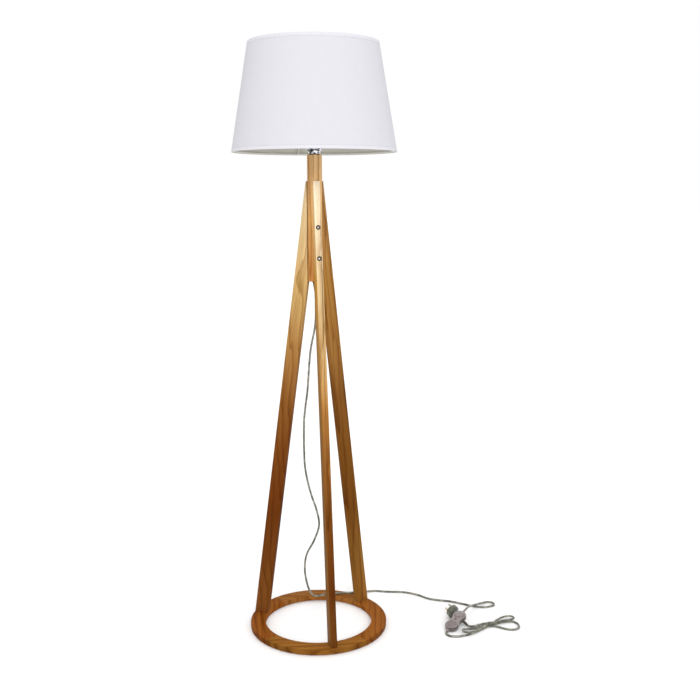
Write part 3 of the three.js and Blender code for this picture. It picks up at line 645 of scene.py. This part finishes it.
def clear_plastic(name, rgb, transmission, swing, gloss, side_shade_tone):
    """Smoky moulded plastic with soft dark patches from what is inside, and painted shade on its upright
    sides, whose tone the last argument gives.
    """
    shader = Shader(name, roughness=0.16)
    cloud = shader.clouded(shader.place(), coarse=95, fine=420, share=0.7)
    _, _, upward = shader.split(shader.normal())
    # Painted shade: faces turned up keep the full colour, upright sides fall to the side tone.
    depth = shader.plus(side_shade_tone, shader.times(shader.math("MAXIMUM", upward, 0), 1 - side_shade_tone))
    shader.colour(shader.shaded(rgb, shader.times(shader.swing(cloud, swing), depth)))
    shader.surface.inputs["Transmission Weight"].default_value = transmission
    shader.surface.inputs["IOR"].default_value = 1.45
    shader.surface.inputs["Coat Weight"].default_value = gloss
    shader.surface.inputs["Coat Roughness"].default_value = 0.12
    return shader.material


def cord_sheath():
    """A clear grey sheath, with the two twisted cores showing through it as darker patches."""
    shader = Shader("cord_sheath", roughness=0.3)
    patches = shader.clouded(shader.place(), coarse=70, fine=330, share=0.55)
    stops = [(0.38, linear((50, 50, 44))), (0.5, linear((104, 103, 90))), (0.62, linear((152, 149, 134)))]
    shader.colour(shader.ramp(patches, stops))
    shader.surface.inputs["Coat Weight"].default_value = 0.4
    shader.surface.inputs["Coat Roughness"].default_value = 0.15
    return shader.material


# Threads of the shade's fabric, as radians for each metre up and for each radian round.
WEAVE = {"up": 7000, "round": 1300}


def woven(name, rgb, lining, through):
    """White shade fabric, a fine even weave that lets a little light through, on a grey-white lining."""
    shader = Shader(name, roughness=0.9)
    at = shader.place()
    x, y, z = shader.split(at)
    rows = shader.math("SINE", shader.times(z, WEAVE["up"]))
    columns = shader.math("SINE", shader.times(shader.math("ARCTAN2", y, x), WEAVE["round"]))
    weave = shader.times(shader.plus(rows, columns), 0.25)
    clouds = shader.noise(at, scale=90, detail=4)
    tone = shader.plus(shader.times(weave, 0.03), shader.times(clouds, 0.04), 0.97)
    inside = shader.math("LESS_THAN", shader.outward(x, y), -0.02)
    cloth = shader.toned(shader.mix(inside, linear(rgb), linear(lining)), tone)
    shader.colour(cloth)
    shader.bump(weave, strength=0.25, distance=0.0002)
    shader.surface.inputs["Specular IOR Level"].default_value = 0.2
    glow = shader.add("ShaderNodeBsdfTranslucent")
    shader.join(cloth, glow.inputs["Color"])
    mix = shader.add("ShaderNodeMixShader")
    mix.inputs["Fac"].default_value = through
    shader.join(shader.surface.outputs[0], mix.inputs[1])
    shader.join(glow.outputs[0], mix.inputs[2])
    shader.join(mix.outputs[0], shader.tree.nodes["Material Output"].inputs["Surface"])
    return shader.material


def chrome_with_painted_reflections():
    """Plated metal in a white room, with painted reflections: the things round it are painted into its colour
    as patches of dark and bright.
    """
    shader = Shader("cup_chrome", roughness=0.08, metallic=1.0)
    x, y, z = shader.split(shader.place())
    turn = shader.math("ARCTAN2", y, x)
    patches_at = shader.combine(shader.times(turn, 2.6), shader.times(z, 260), turn)
    patches = shader.noise(patches_at, scale=1, detail=1, roughness=0.4)
    # Painted reflections: dark, mid and bright patches of the room round the cup.
    stops = [(0.36, linear((26, 26, 28))), (0.5, linear((120, 120, 124))), (0.58, linear((232, 232, 236)))]
    shader.colour(shader.ramp(patches, stops))
    return shader.material


# Finishes of the plain parts. All but the tie's wire are named after the frame's material slots.
PLAIN_FINISHES = {
    "bolt_steel": {"rgb": (96, 88, 80), "roughness": 0.35, "metallic": 0.85},
    "plated_steel": {"rgb": (190, 190, 186), "roughness": 0.35, "metallic": 1.0},
    "spring_steel": {"rgb": (180, 180, 176), "roughness": 0.3, "metallic": 1.0},
    "contact_brass": {"rgb": (176, 156, 122), "roughness": 0.3, "metallic": 1.0},
    "pad_felt": {"rgb": (70, 56, 44), "roughness": 0.95, "scale": 900, "swing": 0.3, "bump": 0.6},
    "dark_rubber": {"rgb": (66, 58, 50), "roughness": 0.55, "scale": 500, "swing": 0.15, "bump": 0.1},
    "holder_black": {"rgb": (40, 40, 43), "roughness": 0.5},
    "holder_white": {"rgb": (232, 230, 222), "roughness": 0.35, "scale": 200, "swing": 0.02},
    "frame_white": {"rgb": (200, 199, 192), "roughness": 0.4, "scale": 300, "swing": 0.03},
    "tie_wire": {"rgb": (92, 92, 82), "roughness": 0.45, "scale": 300, "swing": 0.3},
    "bulb_glass": {"rgb": (240, 238, 230), "roughness": 0.25, "scale": 30, "swing": 0.01},
}
MATERIALS = {
    **{name: speckled(name, **finish) for name, finish in PLAIN_FINISHES.items()},
    "base_wood": ring_wood(),
    "pole_wood": pole_wood(),
    "cup_chrome": chrome_with_painted_reflections(),
    "shade_fabric": woven("shade_fabric", rgb=(208, 207, 213), lining=(201, 199, 191), through=0.06),
    "shade_trim": woven("shade_trim", rgb=(210, 209, 215), lining=(154, 152, 144), through=0.02),
    "cord_plastic": cord_sheath(),
    "switch_plastic": clear_plastic(
        "switch_plastic", rgb=(158, 143, 141), transmission=0.4, swing=1.3, gloss=1.0, side_shade_tone=0.4
    ),
    "plug_plastic": clear_plastic(
        "plug_plastic", rgb=(95, 98, 84), transmission=0.15, swing=1.1, gloss=0.4, side_shade_tone=1.0
    ),
}


def leg_materials():
    """The material of each leg and of the bolts through it, by node."""
    own = {}
    for side in LEG_ANGLES:
        own[f"leg_{side}"] = leg_wood(side)
        steel = bolt_steel(side)
        own[f"leg_bolt_{side}_upper"] = steel
        own[f"leg_bolt_{side}_lower"] = steel
    return own


def paint(target, material):
    target.data.materials.clear()
    target.data.materials.append(material)


# ---------------------------------------------------------------- CAD pieces that show as they are
def edge_rounding(node):
    if node in [f"leg_{side}" for side in LEG_ANGLES]:
        return ROUNDED_EDGES["legs"]
    return ROUNDED_EDGES.get(node, 0)


def dress_frame():
    own = leg_materials()
    slots = {entry["node"]: entry["material_slot"] for entry in frame["record"]["subparts"]}
    for node, made in frame["nodes"].items():
        paint(made, own.get(node) or MATERIALS[slots[node]])
        soften(made, edge_rounding(node))


dress_frame()


# ---------------------------------------------------------------- shade cover and its seam
def shade_radius(z):
    rise = (z - SHADE["bottom"]) / (SHADE["top"] - SHADE["bottom"])
    return SHADE["bottom_radius"] + (SHADE["top_radius"] - SHADE["bottom_radius"]) * rise


def shade_cover():
    """The fabric on its stiff lining, nearly flush with the hem tapes and tucked in under them."""
    low, high = SHADE["bottom"], SHADE["top"]
    hem, step, sides = COVER["hem"], COVER["step"], COVER["sides"]
    rows = [(low, "tucked"), (low + hem, "tucked"), (low + hem + step, "flush")]
    rows += [(high - hem - step, "flush"), (high - hem, "tucked"), (high, "tucked")]
    rows += [(high, "inside"), (low, "inside")]
    vertices = []
    for z, surface in rows:
        radius = shade_radius(z) - COVER[surface]
        for i in range(sides):
            angle = 2 * math.pi * i / sides
            vertices.append((radius * math.cos(angle), radius * math.sin(angle), z))
    faces = []
    for row in range(len(rows)):
        here, above = row * sides, (row + 1) % len(rows) * sides
        for i in range(sides):
            following = (i + 1) % sides
            faces.append((here + i, here + following, above + following, above + i))
    cover = mesh_object("shade_cover", vertices, faces)
    cover.data.set_sharp_from_angle(angle=math.radians(30))
    paint(cover, MATERIALS["shade_fabric"])
    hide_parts("shade_skin")
    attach(cover, "lamp")


def shade_seam():
    """The lapped seam of the fabric, down the back of the shade."""
    corners = []
    for z in (SHADE["bottom"] + COVER["hem"] + SEAM["gap"], SHADE["top"] - COVER["hem"] - SEAM["gap"]):
        radius = shade_radius(z) - COVER["flush"]
        for side in (-1, 1):
            angle = math.radians(90) + side * SEAM["half"] / radius
            for reach in (radius + SEAM["inner"], radius + SEAM["outer"]):
                corners.append((reach * math.cos(angle), reach * math.sin(angle), z))
    faces = [(0, 2, 3, 1), (4, 5, 7, 6), (0, 1, 5, 4), (2, 6, 7, 3), (1, 3, 7, 5), (0, 4, 6, 2)]
    seam = mesh_object("shade_seam", corners, faces, smooth=False)
    paint(seam, MATERIALS["shade_fabric"])
    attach(seam, "lamp")


shade_cover()
shade_seam()


# ---------------------------------------------------------------- switch's grip ribs and return spring
def switch_place():
    """The foot switch's own axes: X points to its far lobe, and Z up through the button."""
    turn = Matrix.Rotation(math.radians(SWITCH["yaw"]), 4, "Z")
    lean = Matrix.Rotation(-math.radians(SWITCH["tilt"]), 4, "Y")
    return Matrix.Translation(SWITCH["centre"]) @ turn @ lean


def switch_ribs():
    """Fine grip ribs across the near lobe's top, as one piece."""
    place = switch_place()
    vertices, faces = [], []
    low = SWITCH["top"] - RIBS["sunk"]
    for i in range(-RIBS["each_side"], RIBS["each_side"] + 1):
        from_middle = i * RIBS["pitch"]
        x = from_middle - SWITCH["lobe_x"]
        reach = math.sqrt(RIBS["reach"] ** 2 - from_middle**2)
        start = len(vertices)
        for dx, dy, dz in [(a, b, c) for a in (-1, 1) for b in (-1, 1) for c in (0, 1)]:
            corner = (x + dx * RIBS["half"], dy * reach, low + dz * RIBS["tall"])
            vertices.append(place @ Vector(corner))
        for face in [(0, 1, 3, 2), (4, 6, 7, 5), (0, 4, 5, 1), (2, 3, 7, 6), (1, 5, 7, 3), (0, 2, 6, 4)]:
            faces.append(tuple(start + k for k in face))
    ribs = mesh_object("switch_ribs", vertices, faces, smooth=False)
    paint(ribs, MATERIALS["switch_plastic"])
    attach(ribs, "lamp")
    return ribs


def return_spring():
    """The spring under the button, built at its rest length and left so; on the real switch it shortens as
    the button goes down.
    """
    place = switch_place()
    low, wire = SPRING["low"], SPRING["wire"]
    rise = SPRING["high"] - low
    per_turn, sides = 24, 8
    steps = int(SPRING["turns"] * per_turn)
    vertices = []
    for i in range(steps + 1):
        angle = 2 * math.pi * i / per_turn
        for k in range(sides):
            round_wire = 2 * math.pi * k / sides
            reach = SPRING["radius"] + wire * math.cos(round_wire)
            z = low + rise * i / steps + wire * math.sin(round_wire)
            spot = Vector((SWITCH["lobe_x"] + reach * math.cos(angle), reach * math.sin(angle), z))
            vertices.append(place @ spot)
    faces = [tuple(range(sides)), tuple(reversed(range(steps * sides, (steps + 1) * sides)))]
    for i in range(steps):
        for k in range(sides):
            here, beside = i * sides + k, i * sides + (k + 1) % sides
            faces.append((here, here + sides, beside + sides, beside))
    spring = mesh_object("return_spring", vertices, faces)
    paint(spring, MATERIALS["spring_steel"])
    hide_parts("button_spring")
    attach(spring, "lamp")
    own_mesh(spring)
    return spring


# ---------------------------------------------------------------- plug's strain relief and the hank's tie
def strain_relief():
    """A tapered sleeve with ring ribs, from the plug down to the lead on the floor."""
    start = Vector(RELIEF["start"])
    drop = math.asin((start.z - RELIEF["end_z"]) / RELIEF["long"])
    turn = Matrix.Rotation(math.radians(RELIEF["yaw"]), 4, "Z")
    down = Matrix.Rotation(drop + math.pi / 2, 4, "Y")
    place = Matrix.Translation(start) @ turn @ down
    first, last = RELIEF["ribbed"]
    pitch = (last - first) / RELIEF["ribs"]
    profile = [(RELIEF["radius"], RELIEF["base"])]
    for i in range(RELIEF["ribs"]):
        z = first + i * pitch
        radius = RELIEF["radius"] - RELIEF["taper"] * i / RELIEF["ribs"]
        floor = radius - RELIEF["groove"]
        profile += [(radius, z), (radius, z + pitch * RIB_PROFILE["crest_end"])]
        profile += [(floor, z + pitch * RIB_PROFILE["groove_start"])]
        profile += [(floor, z + pitch * RIB_PROFILE["groove_end"])]
    end = RELIEF["radius"] - RELIEF["taper"]
    profile += [(end, RELIEF["long"] - RELIEF["tip"]), (end - RELIEF["tip_inset"], RELIEF["long"])]
    relief = turned("plug_relief_ribbed", profile, 20, place)
    paint(relief, MATERIALS["dark_rubber"])
    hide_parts("plug_strain_relief")
    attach(relief, "lamp")
    return relief


def tie_outline():
    """A rounded square round the four passes of the lead, as seen along the hank."""
    corner = TIE["corner"]
    flat = TIE["half"] - corner
    points = []
    for quarter in range(4):
        middle = math.radians(45 + 90 * quarter)
        centre_x = math.copysign(flat, math.cos(middle))
        centre_y = math.copysign(flat, math.sin(middle))
        for i in range(5):
            angle = math.radians(90 * quarter + 22.5 * i)
            points.append((centre_x + corner * math.cos(angle), centre_y + corner * math.sin(angle)))
    return points


def hank_tie():
    """The tie, closed round the hank where its four passes lie together."""
    x, y, z = TIE["middle"]
    upright = Matrix(((0, 0, 1, x), (1, 0, 0, y), (0, 1, 0, z), (0, 0, 0, 1)))
    tie = band("tie_band", tie_outline(), TIE["thick"], -TIE["wide"] / 2, TIE["wide"] / 2, upright)
    paint(tie, MATERIALS["tie_wire"])
    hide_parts("hank_tie")
    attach(tie, "lamp")
    return tie


# ---------------------------------------------------------------- the free lead
def free_lead():
    """The two free stretches of the lead, each with the pieces that go with it."""
    ribs, spring, relief, tie = switch_ribs(), return_spring(), strain_relief(), hank_tie()
    upper, upper_long = cord_curve("lead_to_switch", LEAD_TO_SWITCH)
    lower, lower_long = cord_curve("lead_to_plug", LEAD_TO_PLUG)
    for cord in (upper, lower):
        paint(cord, MATERIALS["cord_plastic"])
        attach(cord, "lamp")
    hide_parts("cord_to_switch")
    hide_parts("cord_to_hank", "cord_hank", "cord_to_plug")


free_lead()


# ---------------------------------------------------------------- floor and light
def studio():
    """A wide white floor in a white room."""
    span = 40
    corners = [(-span, -span, 0), (span, -span, 0), (span, span, 0), (-span, span, 0)]
    floor = mesh_object("floor", corners, [(0, 1, 2, 3)], smooth=False)
    paint(floor, speckled("floor_paint", (250, 250, 250), roughness=0.9, scale=3, swing=0.004))
    bpy.context.scene.world = backdrop()
    bpy.context.scene.view_settings.view_transform = "Standard"


def backdrop():
    """A white room that is brighter overhead; seen directly, it is plain white."""
    world = bpy.data.worlds.new("studio")
    world.use_nodes = True
    tree = world.node_tree
    direction = tree.nodes.new("ShaderNodeTexCoord").outputs["Generated"]
    split = tree.nodes.new("ShaderNodeSeparateXYZ")
    glow = tree.nodes.new("ShaderNodeMapRange")
    glow.inputs["To Min"].default_value = ROOM["sides"]
    glow.inputs["To Max"].default_value = ROOM["sides"] + ROOM["ceiling"]
    seen = tree.nodes.new("ShaderNodeLightPath").outputs["Is Camera Ray"]
    strength = tree.nodes.new("ShaderNodeMix")
    strength.inputs["B"].default_value = 1.0
    background = tree.nodes["Background"]
    background.inputs["Color"].default_value = (1, 1, 1, 1)
    tree.links.new(direction, split.inputs[0])
    tree.links.new(split.outputs["Z"], glow.inputs["Value"])
    tree.links.new(glow.outputs["Result"], strength.inputs["A"])
    tree.links.new(seen, strength.inputs["Factor"])
    tree.links.new(strength.outputs["Result"], background.inputs["Strength"])
    return world


def key_light():
    """One broad soft light from in front and above."""
    light = bpy.data.objects.new("key", bpy.data.lights.new("key", "SUN"))
    bpy.context.scene.collection.objects.link(light)
    light.data.energy = KEY["strength"]
    light.data.angle = math.radians(KEY["spread"])
    light.rotation_euler = Vector(KEY["from"]).to_track_quat("Z", "Y").to_euler()


studio()
key_light()
